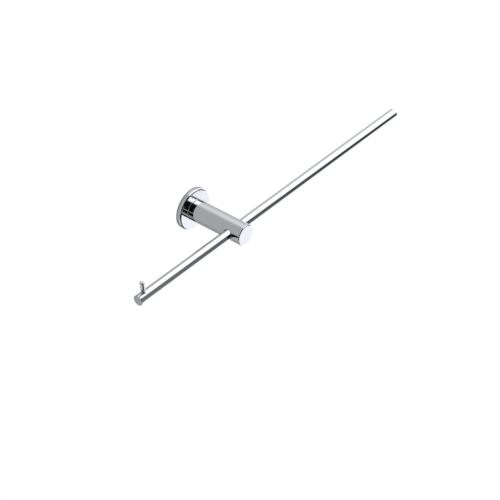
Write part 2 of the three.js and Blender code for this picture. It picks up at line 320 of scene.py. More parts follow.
def pierce(skin, wall, angles, stations, holes, ways=None):
    """A band of a wall as a grid, with a round hole in place of each hole's block of the grid.

    Returns the band's first row, its last row and the rim of each hole. ways gives the places of the points
    round the hole, in order, where they have to match another rim.
    """
    grid = []
    for row, station in enumerate(stations):
        numbers = []
        for column, angle in enumerate(angles):
            covered = any(h.left < column < h.right and h.low < row < h.high for h in holes)
            numbers.append(None if covered else skin.ring([wall.point(angle, station)])[0])
        grid.append(numbers)
    for row in range(len(stations) - 1):
        for column in range(len(angles)):
            if any(h.left <= column < h.right and h.low <= row < h.high for h in holes):
                continue
            after = (column + 1) % len(angles)
            near, far = wall.normal(angles[column]), wall.normal(angles[after])
            skin.face(
                [grid[row][column], grid[row][after], grid[row + 1][after], grid[row + 1][column]],
                [near, far, far, near],
            )
    return grid[0], grid[-1], [patch(skin, wall, angles, stations, grid, hole, ways) for hole in holes]


def patch(skin, wall, angles, stations, grid, hole, ways):
    """Fills the block of a pierced band up to the round rim of its hole."""
    columns = range(hole.left, hole.right + 1)
    rows = range(hole.low, hole.high + 1)
    border = [(column, hole.low) for column in columns]
    border += [(hole.right, row) for row in rows[1:]]
    border += [(column, hole.high) for column in reversed(columns[:-1])]
    border += [(hole.left, row) for row in reversed(rows[1:-1])]
    spots = []
    for column, row in border:
        along = stations[row] - hole.station
        across = wall.radius * math.sin(angles[column] - hole.angle)
        spots.append((way_round(across, along), Vector((along, across)), grid[row][column]))
    spots.sort(key=lambda spot: spot[0])
    ways = ways or [way for way, _, _ in spots]
    rim = [Vector((math.cos(way), math.sin(way))) * hole.radius for way in ways]
    outer = [number for _, _, number in spots]
    outer_normals = [wall.normal(hole.angle + math.asin(spot.y / wall.radius)) for _, spot, _ in spots]
    for step in range(1, PATCH_RINGS + 1):
        places = [spot.lerp(end, step / PATCH_RINGS) for (_, spot, _), end in zip(spots, rim)]
        turned = [hole.angle + math.asin(place.y / wall.radius) for place in places]
        inner = skin.ring([wall.point(a, hole.station + place.x) for a, place in zip(turned, places)])
        inner_normals = [wall.normal(angle) for angle in turned]
        skin.strip(outer, inner, outer_normals, inner_normals)
        outer, outer_normals = inner, inner_normals
    return Rim(hole, ways, outer)


def lip(skin, wall, rim, edge):
    """Rounds a hole's rim into the hole, which ends up narrower by edge all round. Returns the inner ring."""
    radius = rim.hole.radius - edge
    inward = -wall.spoke(rim.hole.angle) * wall.facing
    previous = rim.ring
    turned = [wall.round_hole(rim.hole, way, rim.hole.radius) for way in rim.ways]
    starts = [wall.point(*place) for place in turned]
    corners = [wall.point(*wall.round_hole(rim.hole, way, radius)) for way in rim.ways]
    outside = [wall.normal(angle) for angle, _ in turned]
    inside = [-wall.hole_way(rim.hole, way) for way in rim.ways]
    previous_normals = outside
    for step in range(1, ARC_STEPS + 1):
        share = step / ARC_STEPS
        points = []
        for start, corner in zip(starts, corners):
            end = corner + inward * edge
            points.append(start.lerp(corner, share).lerp(corner.lerp(end, share), share))
        ring = skin.ring(points)
        normals = [a.lerp(b, share).normalized() for a, b in zip(outside, inside)]
        skin.strip(previous, ring, previous_normals, normals)
        previous, previous_normals = ring, normals
    return previous


def hole_wall(skin, wall, rim, first, second):
    """The wall of a hole between two rings of points round it."""
    normals = [-wall.hole_way(rim.hole, way) for way in rim.ways]
    skin.strip(first, second, normals, normals)


def sides(node):
    """The lowest and highest corner of a CAD node."""
    low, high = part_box(node)
    return Vector(low), Vector(high)


def stands_for(skin, node, body, look):
    """Makes a piece that replaces the CAD node of the same part and rides on the same body."""
    piece = skin.build(node + "_fine", look)
    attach(piece, body)
    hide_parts(node)


# ---- materials ------------------------------------------------------------------------------------------


def mixed(tree, factor, first, second):
    """first where the factor is 0 and second where it is 1, each a colour or an output."""
    mix = tree.nodes.new("ShaderNodeMix")
    mix.data_type = "RGBA"
    sockets = {socket.name: socket for socket in mix.inputs if socket.enabled}
    tree.links.new(factor, sockets["Factor"])
    for socket, value in ((sockets["A"], first), (sockets["B"], second)):
        if isinstance(value, tuple):
            socket.default_value = (*value, 1)
        else:
            tree.links.new(value, socket)
    return next(socket for socket in mix.outputs if socket.enabled)


class Look:
    """A material on the principled shader, with short ways to add texture that follows the object."""

    def __init__(self, name, roughness):
        self.material = bpy.data.materials.new(name)
        self.material.use_nodes = True
        self.tree = self.material.node_tree
        self.shader = self.tree.nodes["Principled BSDF"]
        self.shader.inputs["Metallic"].default_value = 1
        self.shader.inputs["Roughness"].default_value = roughness
        self.place = self.tree.nodes.new("ShaderNodeTexCoord").outputs["Object"]

    def stretched(self, scale):
        """Object coordinates scaled by different amounts along X, Y and Z."""
        mapping = self.tree.nodes.new("ShaderNodeMapping")
        mapping.inputs["Scale"].default_value = scale
        self.tree.links.new(self.place, mapping.inputs["Vector"])
        return mapping.outputs["Vector"]

    def noise(self, scale, detail, vector=None):
        """Noise with features of about 1/scale metres, its usual range spread to run from 0 to 1."""
        noise = self.tree.nodes.new("ShaderNodeTexNoise")
        noise.inputs["Scale"].default_value = scale
        noise.inputs["Detail"].default_value = detail
        self.tree.links.new(vector or self.place, noise.inputs["Vector"])
        return self.spread(noise.outputs["Fac"], 0, 1, from_low=0.3, from_high=0.7)

    def spread(self, value, low, high, from_low=0.0, from_high=1.0):
        """Maps a value linearly from one range to another."""
        spread = self.tree.nodes.new("ShaderNodeMapRange")
        settings = {"From Min": from_low, "From Max": from_high, "To Min": low, "To Max": high}
        for key, number in settings.items():
            spread.inputs[key].default_value = number
        self.tree.links.new(value, spread.inputs["Value"])
        return spread.outputs["Result"]

    def colour(self, value, first, second):
        """Base colour that goes from first to second with value."""
        self.base = mixed(self.tree, value, first, second)
        self.tree.links.new(self.base, self.shader.inputs["Base Color"])

    def along_y(self, start, full):
        """0 to 1 as the object's Y goes from start to full."""
        parts = self.tree.nodes.new("ShaderNodeSeparateXYZ")
        self.tree.links.new(self.place, parts.inputs["Vector"])
        return self.spread(parts.outputs["Y"], 0, 1, start, full)

    def roughness(self, value, low, high):
        """Roughness that goes from low to high with value."""
        self.tree.links.new(self.spread(value, low, high), self.shader.inputs["Roughness"])

    def bump(self, value, height):
        """Relief of the given height in metres."""
        bump = self.tree.nodes.new("ShaderNodeBump")
        bump.inputs["Distance"].default_value = height
        self.tree.links.new(value, bump.inputs["Height"])
        self.tree.links.new(bump.outputs["Normal"], self.shader.inputs["Normal"])


def chrome(name):
    """Mirror chrome: an even plate with a faint haze, and handling smears a few centimetres across."""
    hazy = (0.885, 0.892, 0.9)
    clear = (0.915, 0.918, 0.922)
    look = Look(name, 0.03)
    look.colour(look.noise(scale=30, detail=3), hazy, clear)
    look.roughness(look.noise(scale=70, detail=5), low=0.02, high=0.06)
    look.bump(look.noise(scale=900, detail=2), 0.0004 * MM)
    return look


def flange_chrome_wall_shade():
    """The same chrome, darkened with painted shade along the wall, where the flange meets it."""
    painted_wall_shade = (0.34, 0.35, 0.37)
    look = chrome("flange_chrome_wall_shade")
    # Painted shade: the base colour goes dark within a few millimetres of the wall, where the flange meets
    # it.
    look.colour(look.along_y(-WALL_SHADE_REACH, -WALL_SHADE_REACH / 2), look.base, painted_wall_shade)
    return look.material


def fixing_steel():
    """Zinc-plated steel: mottled, slightly blue, with fine rolling streaks."""
    dark_zinc = (0.45, 0.46, 0.49)
    light_zinc = (0.64, 0.65, 0.66)
    look = Look("fixing_steel", 0.35)
    streaks = look.noise(scale=500, detail=4, vector=look.stretched((1, 6, 6)))
    look.colour(look.noise(scale=350, detail=4), dark_zinc, light_zinc)
    look.roughness(streaks, low=0.25, high=0.48)
    look.bump(streaks, 0.02 * MM)
    return look.material


def black_steel():
    """Black-oxide steel, oiled, with a brown cast where a key has worn it."""
    oxide = (0.03, 0.03, 0.036)
    worn = (0.11, 0.09, 0.075)
    look = Look("black_steel", 0.4)
    wear = look.noise(scale=1200, detail=5)
    look.colour(wear, oxide, worn)
    look.roughness(wear, low=0.3, high=0.5)
    look.bump(wear, 0.01 * MM)
    return look.material


def brass_pad():
    """Turned brass gone dull, tarnished in patches."""
    bright = (0.63, 0.47, 0.21)
    tarnished = (0.4, 0.28, 0.13)
    look = Look("brass_pad", 0.35)
    tarnish = look.noise(scale=900, detail=4)
    look.colour(tarnish, bright, tarnished)
    look.roughness(tarnish, low=0.25, high=0.5)
    look.bump(tarnish, 0.01 * MM)
    return look.material


CHROME = chrome("polished_chrome").material
FLANGE_CHROME_WALL_SHADE = flange_chrome_wall_shade()
STEEL = fixing_steel()
BLACK = black_steel()
BRASS = brass_pad()

# ---- chrome pieces ------------------------------------------------------------------------------------

flange_low, flange_high = sides("flange")
post_low, post_high = sides("post")
tube_low, tube_high = sides("rod_tube")
pin_low, pin_high = sides("stop_pin")
bolt_low, bolt_high = sides("post_bolt")
dowel_low, dowel_high = sides("post_dowel")
grub_low, grub_high = sides("flange_grub_screw")
clamp_low, clamp_high = sides("rod_clamp_screw")

rod_radius = (tube_high.z - tube_low.z) / 2
rod_line = Vector((0, (tube_low.y + tube_high.y) / 2, (tube_low.z + tube_high.z) / 2))
bolt_hole_radius = BOLT_RADIUS + HOLE_GAP
dowel_hole_radius = (dowel_high.x - dowel_low.x) / 2 + HOLE_GAP
dowel_rise = (dowel_low.z + dowel_high.z) / 2

# The pin leans to the left. Its shoulder is where its round edge starts, up its own axis from the rod's axis.
pin_radius = (pin_high.y - pin_low.y) / 2
pin_flat = pin_radius - PIN_EDGE
pin_drop = PIN_EDGE + pin_flat * math.sin(PIN_TILT)
pin_shoulder = (pin_high.z - rod_line.z - pin_drop) / math.cos(PIN_TILT)
pin_overhang = pin_shoulder * math.sin(PIN_TILT) + pin_flat * math.cos(PIN_TILT) + PIN_EDGE
pin_foot = rod_line + RIGHT * (pin_low.x + pin_overhang)


def round_loop(skin, centre, radius):
    """A ring of points round an axis that stands out of the wall."""
    wall = Wall(centre, OUT_OF_WALL, UP, radius)
    return skin.ring([wall.point(angle, 0) for angle in even(ROUND_HOLE)])


def blind_hole(skin, ring, centre, radius, depth):
    """Wall and pointed end of a hole drilled away from the wall, from the ring at its mouth."""
    wall = Wall(centre, OUT_OF_WALL, UP, radius)
    outline = rounded([(depth + radius * DRILL_POINT, 0, 0), (depth, radius, 0), (0, radius, 0)])
    revolve(skin, wall, outline, even(len(ring)), last=ring)


def make_flange():
    """Cup with rounded edges, holes for the bolt and the dowel, and one in its rim for the grub screw."""
    depth = flange_high.y - flange_low.y
    radius = (flange_high.x - flange_low.x) / 2
    cavity = radius - FLANGE_RIM
    floor = depth - FLANGE_WEB
    grub = (grub_high.x - grub_low.x) / 2 + HOLE_GAP
    from_wall = -(grub_low.y + grub_high.y) / 2
    angles = even(ROUND_POST)
    stations = even(GRUB_ROWS + 1, FLANGE_BACK_EDGE, floor - HOLE_EDGE, closed=False)
    half = math.ceil(math.asin(GRUB_BLOCK_WIDTH * grub / radius) / (FULL_TURN / ROUND_POST))
    middle = ROUND_POST // 2
    hole = Hole(math.pi, from_wall, grub, middle - half, middle + half, 0, GRUB_ROWS)
    skin = Skin()
    outer = Wall((0, flange_high.y, 0), OUT_OF_WALL, UP, radius)
    inner = Wall((0, flange_high.y, 0), OUT_OF_WALL, UP, cavity, -1)
    outer_low, outer_high, (outer_rim,) = pierce(skin, outer, angles, stations, [hole])
    inner_low, inner_high, (inner_rim,) = pierce(skin, inner, angles, stations, [hole], outer_rim.ways)
    hole_wall(skin, outer, outer_rim, outer_rim.ring, inner_rim.ring)
    back = rounded([
        (stations[0], cavity, 0),
        (0, cavity, HOLE_EDGE),
        (0, radius, FLANGE_BACK_EDGE),
        (stations[0], radius, 0),
    ])
    revolve(skin, outer, back, angles, inner_low, outer_low)
    front = rounded([(stations[-1], radius, 0), (depth, radius, FLANGE_EDGE), (depth, cavity, 0)])
    front_ring = revolve(skin, outer, front[:-1], angles, outer_high)[1]
    cavity_wall = rounded([(floor, 0, 0), (floor, cavity, HOLE_EDGE), (stations[-1], cavity, 0)])
    floor_ring = revolve(skin, outer, cavity_wall[1:], angles, last=inner_high)[0]
    loops = []
    for rise, size in ((0, bolt_hole_radius), (dowel_rise, dowel_hole_radius)):
        low = round_loop(skin, (0, flange_high.y - floor, rise), size)
        high = round_loop(skin, (0, flange_high.y - depth, rise), size)
        inward = [-outer.spoke(angle) for angle in even(ROUND_HOLE)]
        skin.strip(low, high, inward, inward)
        loops.append((low, high))
    skin.flat(front_ring, [high for _, high in loops], OUT_OF_WALL)
    skin.flat(floor_ring, [low for low, _ in loops], -OUT_OF_WALL)
    stands_for(skin, "flange", "holder", FLANGE_CHROME_WALL_SHADE)


def bore_mouth(skin, outer, inside, rim):
    """Rounds a mouth of the bore. Returns the bore's points there, each with its angle, in order."""
    ring = lip(skin, outer, rim, MOUTH_EDGE)
    bearings = [inside.bearing(outer.hole_way(rim.hole, way)) for way in rim.ways]
    return sorted(zip(bearings, ring))


def cut_bore(skin, outer, left, right, bottom, clamp):
    """The rod's bore through the post, and the clamp hole that opens into it from below."""
    inside = Wall(rod_line, RIGHT, UP, rod_radius + BORE_GAP, -1)
    mouths = [bore_mouth(skin, outer, inside, rim) for rim in (left, right)]
    angles = [bearing for bearing, _ in mouths[0]]
    first = next(i for i, angle in enumerate(angles) if angle > CLAMP_BLOCK_START)
    last = len(angles) - first
    rows = len(bottom.ring) // 2 - (last - first)
    stations = even(rows + 1, -CLAMP_BLOCK * clamp, CLAMP_BLOCK * clamp, closed=False)
    opening = Hole(math.pi, 0, clamp, first, last, 0, rows)
    across = inside.axis.cross(inside.spoke(math.pi))
    spots = []
    for outer_way, number in zip(bottom.ways, lip(skin, outer, bottom, HOLE_EDGE)):
        direction = outer.hole_way(bottom.hole, outer_way)
        way = way_round(direction.dot(across), direction.dot(inside.axis))
        spots.append((way, number, -direction))
    spots.sort(key=lambda spot: spot[0])
    ways = [way for way, _, _ in spots]
    low, high, (rim,) = pierce(skin, inside, angles, stations, [opening], ways)
    inward = [normal for _, _, normal in spots]
    skin.strip([number for _, number, _ in spots], rim.ring, inward, inward)
    normals = [inside.normal(angle) for angle in angles]
    for mouth, row in zip(mouths, (low, high)):
        skin.strip([number for _, number in mouth], row, normals, normals)


def make_post():
    """Round bar with rounded ends, the rod's cross bore, the clamp hole from below and the bolt's holes."""
    radius = (post_high.x - post_low.x) / 2
    length = post_high.y - post_low.y
    bore = rod_radius + BORE_GAP
    clamp = (clamp_high.x - clamp_low.x) / 2 + HOLE_GAP
    rod_station = post_high.y - rod_line.y
    reach = bore + BORE_BLOCK_MARGIN
    angles = even(ROUND_POST)
    stations = even(POST_ROWS + 1, rod_station - reach, rod_station + reach, closed=False)
    outer = Wall((0, post_high.y, 0), OUT_OF_WALL, UP, radius)
    holes = []
    for quarter, size, half in (
        (1, bore + MOUTH_EDGE, MOUTH_COLUMNS),
        (2, clamp + HOLE_EDGE, CLAMP_COLUMNS),
        (3, bore + MOUTH_EDGE, MOUTH_COLUMNS),
    ):
        middle = quarter * ROUND_POST // 4
        angle = quarter * FULL_TURN / 4
        holes.append(Hole(angle, rod_station, size, middle - half, middle + half, 0, POST_ROWS))
    skin = Skin()
    low, high, (left, bottom, right) = pierce(skin, outer, angles, stations, holes)
    cut_bore(skin, outer, left, right, bottom, clamp)

    end = rounded([(stations[-1], radius, 0), (length, radius, POST_EDGE), (length, 0, 0)])
    revolve(skin, outer, end, angles, high)
    start = rounded([(0, 0, 0), (0, radius, POST_EDGE), (stations[0], radius, 0)])
    start_ring = revolve(skin, outer, start[1:], angles, last=low)[0]
    loops = []
    for rise, size, tip in ((0, bolt_hole_radius, bolt_low.y), (dowel_rise, dowel_hole_radius, dowel_low.y)):
        centre = (0, post_high.y, rise)
        loops.append(round_loop(skin, centre, size))
        blind_hole(skin, loops[-1], centre, size, post_high.y - tip + DRILL_OVERRUN)
    skin.flat(start_ring, loops, -OUT_OF_WALL)
    stands_for(skin, "post", "holder", CHROME)


def make_tube():
    """Open tube with a hole for the stop pin's spigot on its top."""
    bore = rod_radius - TUBE_WALL
    spot_x = pin_foot.x - (rod_radius - TUBE_WALL / 2) * math.tan(PIN_TILT)
    spot = PIN_SPIGOT + HOLE_GAP
    angles = even(ROUND_ROD)
    middle = ROUND_ROD // 2
    outer = Wall(rod_line, RIGHT, -UP, rod_radius)
    inner = Wall(rod_line, RIGHT, -UP, bore, -1)
    reach = TUBE_BLOCK * spot
    stations = even(SPIGOT_ROWS + 1, spot_x - reach, spot_x + reach, closed=False)
    hole = Hole(math.pi, spot_x, spot, middle - TUBE_COLUMNS, middle + TUBE_COLUMNS, 0, SPIGOT_ROWS)
    skin = Skin()
    outer_low, outer_high, (outer_rim,) = pierce(skin, outer, angles, stations, [hole])
    inner_low, inner_high, (inner_rim,) = pierce(skin, inner, angles, stations, [hole], outer_rim.ways)
    hole_wall(skin, outer, outer_rim, outer_rim.ring, inner_rim.ring)
    left = rounded([
        (stations[0], bore, 0),
        (tube_low.x, bore, TUBE_EDGE),
        (tube_low.x, rod_radius, TUBE_EDGE),
        (stations[0], rod_radius, 0),
    ])
    revolve(skin, outer, left, angles, inner_low, outer_low)
    right = rounded([
        (stations[-1], rod_radius, 0),
        (tube_high.x, rod_radius, TUBE_EDGE),
        (tube_high.x, bore, TUBE_EDGE),
        (stations[-1], bore, 0),
    ])
    revolve(skin, outer, right, angles, outer_high, inner_high)
    stands_for(skin, "rod_tube", "rod", CHROME)


def make_cap(node, end_x, direction, pinned):
    """Flat-faced end cap with a rounded edge and a shank. A pinned one has a blind hole for the spigot."""
    low, high = sides(node)
    length = high.x - low.x
    face = rod_line + RIGHT * end_x
    angles = even(ROUND_ROD)
    skin = Skin()
    shank = Wall(face, direction, -UP, CAP_SHANK)
    back = [(-length, 0, 0), (-length, CAP_SHANK, CAP_EDGE)]
    front = [
        (-CAP_HEAD, CAP_SHANK, 0),
        (-CAP_HEAD, rod_radius, TUBE_EDGE),
        (0, rod_radius, CAP_EDGE),
        (0, 0, 0),
    ]
    if not pinned:
        revolve(skin, shank, rounded(back + front), angles)
        stands_for(skin, node, "rod", CHROME)
        return
    spot = PIN_SPIGOT + HOLE_GAP
    station = (pin_foot.x - CAP_SHANK * math.tan(PIN_TILT) - end_x) * direction.x
    reach = SHANK_BLOCK * spot
    stations = even(SPIGOT_ROWS + 1, station - reach, station + reach, closed=False)
    middle = ROUND_ROD // 2
    hole = Hole(math.pi, station, spot, middle - SHANK_COLUMNS, middle + SHANK_COLUMNS, 0, SPIGOT_ROWS)
    start, end, (rim,) = pierce(skin, shank, angles, stations, [hole])
    revolve(skin, shank, rounded(back + [(stations[0], CAP_SHANK, 0)]), angles, last=start)
    revolve(skin, shank, rounded([(stations[-1], CAP_SHANK, 0)] + front), angles, first=end)
    depth = PIN_SPIGOT_DEPTH + 2 * HOLE_GAP
    floor = pin_foot + RIGHT * depth * math.tan(PIN_TILT) - UP * depth
    bottom = skin.ring([floor + shank.hole_way(hole, way) * spot for way in rim.ways])
    hole_wall(skin, shank, rim, rim.ring, bottom)
    skin.flat(bottom, [], UP)
    stands_for(skin, node, "rod", CHROME)


def make_pin():
    """Leaning round pin with a rounded top, a foot that fits the tube and a short spigot through its wall."""
    radius = pin_radius
    height = pin_shoulder + PIN_EDGE
    lean = Vector((-math.sin(PIN_TILT), 0, math.cos(PIN_TILT)))
    wall = Wall(pin_foot, lean, RIGHT * math.cos(PIN_TILT) + UP * math.sin(PIN_TILT), radius)
    angles = even(ROUND_ROD)
    skin = Skin()

    def on_tube(size, angle):
        """The point of the tube's surface on a line along the pin."""
        offset = wall.spoke(angle) * size
        rise = math.sqrt((rod_radius + SEAT_GAP) ** 2 - offset.y ** 2) - offset.z
        return wall.centre + offset + lean * (rise / lean.z)

    foot = skin.ring([on_tube(radius, angle) for angle in angles])
    neck = skin.ring([on_tube(PIN_SPIGOT, angle) for angle in angles])
    under = [rod_line - skin.points[number] for number in foot]
    under = [Vector((0, way.y, way.z)).normalized() for way in under]
    skin.strip(foot, neck, under, under)
    spokes = [wall.spoke(angle) for angle in angles]
    shaft_start = rod_radius + radius
    shaft = skin.ring([wall.point(angle, shaft_start) for angle in angles])
    skin.strip(foot, shaft, spokes, spokes)
    top = rounded([(shaft_start, radius, 0), (height, radius, PIN_EDGE), (height, 0, 0)])
    revolve(skin, wall, top, angles, shaft)
    spigot = rounded([(-PIN_SPIGOT_DEPTH, 0, 0), (-PIN_SPIGOT_DEPTH, PIN_SPIGOT, 0), (0, PIN_SPIGOT, 0)])
    revolve(skin, wall, spigot, angles, last=neck)
    stands_for(skin, "stop_pin", "rod", CHROME)


make_flange()
make_post()
make_tube()
make_cap("rod_end_cap_left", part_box("rod_end_cap_left")[0][0], -RIGHT, pinned=True)
make_cap("rod_end_cap_right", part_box("rod_end_cap_right")[1][0], RIGHT, pinned=False)
make_pin()

# ---- fixings ------------------------------------------------------------------------------------------


def thread(skin, wall, angles, span, pitch, rings):
    """A right-hand thread between two rings, running out at both ends."""
    low, high = span
    count = round((high - low) / pitch * THREAD_STEPS)
    depth = THREAD_DEPTH * wall.radius

    def radius(step, angle):
        """The thread's surface, between its crest and its root."""
        station = low + (high - low) * step / count
        ridge = abs(2 * ((station / pitch - angle / FULL_TURN) % 1) - 1)
        return wall.radius - depth * ridge * min(1, step / THREAD_STEPS, (count - step) / THREAD_STEPS)

    def normal(step, angle):
        rise = (high - low) / count
        slope = (radius(step + 0.5, angle) - radius(step - 0.5, angle)) / rise
        return wall.spoke(angle) - wall.axis * slope

    previous = rings[0]
    for step in range(count):
        after = rings[1]
        if step < count - 1:
            station = low + (high - low) * (step + 1) / count
            middle = wall.centre + wall.axis * station
            after = skin.ring([middle + wall.spoke(a) * radius(step + 1, a) for a in angles])
        near = [normal(step, angle) for angle in angles]
        far = [normal(step + 1, angle) for angle in angles]
        skin.strip(previous, after, near, far)
        previous = after


def hexagon(skin, wall, station, width, depth):
    """A hexagon socket sunk from a station of the axis. Returns the ring at its mouth."""
    corners = even(6)
    rings = []
    for level in (station, station - depth):
        middle = wall.centre + wall.axis * level
        rings.append(skin.ring([middle + wall.spoke(angle) * width / math.sqrt(3) for angle in corners]))
    mouth, floor = rings
    for i in range(6):
        j = (i + 1) % 6
        inward = -wall.spoke(corners[i] + FULL_TURN / 12)
        skin.face([mouth[i], mouth[j], floor[j], floor[i]], [inward] * 4)
    skin.flat(floor, [], wall.axis)
    return mouth


def make_screw(node, body, look, tip, axis, before, after, pitch, socket):
    """Socket screw: an outline up to the thread, the thread, and an outline on to the socket's end."""
    wall = Wall(tip, axis, RIGHT, before[-1][1])
    angles = even(ROUND_HOLE)
    skin = Skin()
    thread_start = revolve(skin, wall, rounded(before), angles)[1]
    thread_end, end = revolve(skin, wall, rounded(after)[:-1], angles)
    thread(skin, wall, angles, (before[-1][0], after[0][0]), pitch, (thread_start, thread_end))
    skin.flat(end, [hexagon(skin, wall, after[-1][0], *socket)], axis)
    stands_for(skin, node, body, look)


def make_bolt():
    """Low-headed bolt with its socket towards the wall."""
    length = bolt_high.y - bolt_low.y
    head = (bolt_high.x - bolt_low.x) / 2
    before = [(0, 0, 0), (0, BOLT_RADIUS - 2 * SCREW_EDGE, 0), (2 * SCREW_EDGE, BOLT_RADIUS, 0)]
    after = [
        (BOLT_SHANK - BOLT_RADIUS, BOLT_RADIUS, 0),
        (BOLT_SHANK, BOLT_RADIUS, 0),
        (BOLT_SHANK, head, SCREW_EDGE),
        (length, head, SCREW_EDGE),
        (length, 0, 0),
    ]
    tip = Vector((0, bolt_low.y, 0))
    make_screw("post_bolt", "holder", STEEL, tip, -OUT_OF_WALL, before, after, BOLT_PITCH, BOLT_SOCKET)


def make_grub(node, body, point, pitch, socket):
    """Headless screw that points up, with its socket underneath. point is the tip's radius and height."""
    low, high = sides(node)
    length = high.z - low.z
    radius = (high.x - low.x) / 2
    before = [(0, 0, 0), (0, point[0], 0), (point[1], radius, 0)]
    after = [(length - 2 * SCREW_EDGE, radius, 0), (length, radius, SCREW_EDGE), (length, 0, 0)]
    tip = Vector((0, (low.y + high.y) / 2, high.z))
    make_screw(node, body, BLACK, tip, -UP, before, after, pitch, socket)


def make_turned(node, body, look, start, axis, radius, length, edge):
    """Plain round piece with rounded edges."""
    outline = rounded([(0, 0, 0), (0, radius, edge), (length, radius, edge), (length, 0, 0)])
    skin = Skin()
    revolve(skin, Wall(start, axis, RIGHT, radius), outline, even(ROUND_HOLE))
    stands_for(skin, node, body, look)


def plate_rim(skin, wall, thickness):
    """The plate's rim with its edges rounded, and a square notch at the bottom. Returns its end rings."""
    radius = wall.radius
    half = math.acos((radius - PLATE_NOTCH) / (radius * math.sqrt(2))) - FULL_TURN / 8
    angles = sorted({*even(ROUND_POST), math.pi - half, math.pi + half})

    def reach(angle):
        """How far the rim is from the axis."""
        away = abs(angle - math.pi)
        if away >= half:
            return radius
        return (radius - PLATE_NOTCH) / (math.cos(away) - math.sin(away))

    def outward(side, corner):
        """The rim's normal at one corner of a side, flat on the two sides of the notch."""
        middle = (angles[side] + (angles + [FULL_TURN])[side + 1]) / 2
        if abs(middle - math.pi) > half:
            return wall.spoke(angles[corner])
        return (-UP - RIGHT * math.copysign(1, middle - math.pi)).normalized()

    leans = []
    rings = []
    for inner, first in ((HOLE_EDGE, -1), (thickness - HOLE_EDGE, 0)):
        for step in range(ARC_STEPS + 1):
            lean = (first + step / ARC_STEPS) * FULL_TURN / 4
            inset = HOLE_EDGE * (1 - math.cos(lean))
            middle = wall.axis * (inner + HOLE_EDGE * math.sin(lean))
            leans.append(lean)
            rings.append(skin.ring([middle + wall.spoke(a) * (reach(a) - inset) for a in angles]))
    for k in range(len(rings) - 1):
        for i in range(len(angles)):
            j = (i + 1) % len(angles)
            corners = [(k, i), (k, j), (k + 1, j), (k + 1, i)]
            normals = []
            for level, corner in corners:
                lean = leans[level]
                normals.append(outward(i, corner) * math.cos(lean) + wall.axis * math.sin(lean))
            skin.face([rings[level][corner] for level, corner in corners], normals)
    return rings[0], rings[-1]


def make_plate():
    """Wall plate with a notch at the bottom, a recess for the bolt's head and two countersunk holes."""
    low, high = sides("wall_plate")
    thickness = high.y - low.y
    front_face = OUT_OF_WALL * thickness
    recess = [(PLATE_RECESS_DEPTH, 0, 0), (PLATE_RECESS_DEPTH, PLATE_RECESS, 0), (0, PLATE_RECESS, 0)]
    sink = [(thickness, WALL_HOLE, 0), (WALL_SINK - WALL_HOLE, WALL_HOLE, 0), (0, WALL_SINK, 0)]
    skin = Skin()
    rim_wall = Wall((0, 0, 0), OUT_OF_WALL, UP, (high.x - low.x) / 2)
    back_ring, front_ring = plate_rim(skin, rim_wall, thickness)
    recess_wall = Wall(front_face, -OUT_OF_WALL, UP, PLATE_RECESS)
    backs = []
    fronts = [revolve(skin, recess_wall, rounded(recess), even(ROUND_HOLE))[1]]
    for side in (-1, 1):
        wall_hole = Wall(front_face + RIGHT * side * WALL_HOLE_OFFSET, -OUT_OF_WALL, UP, WALL_HOLE)
        back, front = revolve(skin, wall_hole, rounded(sink), even(ROUND_HOLE))
        backs.append(back)
        fronts.append(front)
    skin.flat(back_ring, backs, -OUT_OF_WALL)
    skin.flat(front_ring, fronts, OUT_OF_WALL)
    stands_for(skin, "wall_plate", "wall_mount", STEEL)


make_plate()
make_bolt()
make_grub("flange_grub_screw", "flange_screw", GRUB_POINT, GRUB_PITCH, GRUB_SOCKET)
make_grub("rod_clamp_screw", "clamp_screw", CLAMP_POINT, CLAMP_PITCH, CLAMP_SOCKET)
make_turned(
    "post_dowel",
    "holder",
    STEEL,
    Vector((0, dowel_high.y, dowel_rise)),
    OUT_OF_WALL,
    (dowel_high.x - dowel_low.x) / 2,
    dowel_high.y - dowel_low.y,
    SCREW_EDGE,
)
pad_low, pad_high = sides("rod_clamp_pad")
make_turned(
    "rod_clamp_pad",
    "clamp_pad",
    BRASS,
    Vector((0, (pad_low.y + pad_high.y) / 2, pad_high.z)),
    -UP,
    (pad_high.x - pad_low.x) / 2,
    pad_high.z - pad_low.z,
    HOLE_EDGE,
)
for material_slot in bpy.data.objects["post_lock_washer"].material_slots:
    material_slot.material = STEEL

# ---- studio ---------------------------------------------------------------------------------------------

CAMERA_AZIMUTH = math.radians(-50.4)
CAMERA_ELEVATION = math.radians(38.66)
CAMERA_DISTANCE = 1.607
CAMERA_AIM = Vector((0.01911, -0.06985, -0.03726))
CAMERA_LENS = 103.65
SENSOR_WIDTH = 36.0
CAMERA_FAR = 100.0

FLOOR_DROP = 0.6
FLOOR_SIZE = 60.0

LAMP_PLACE = Vector((0.3, -0.6, 1.4))
LAMP_SIZE = 1.2
LAMP_POWER = 12

TINT = Vector((0.985, 0.997, 1.02))
DARK_ROOM = 0.004

TO_RIGHT = (1, 0, 0)
OUTWARD = (0, 1, 0)
UPWARD = (0, 0, 1)

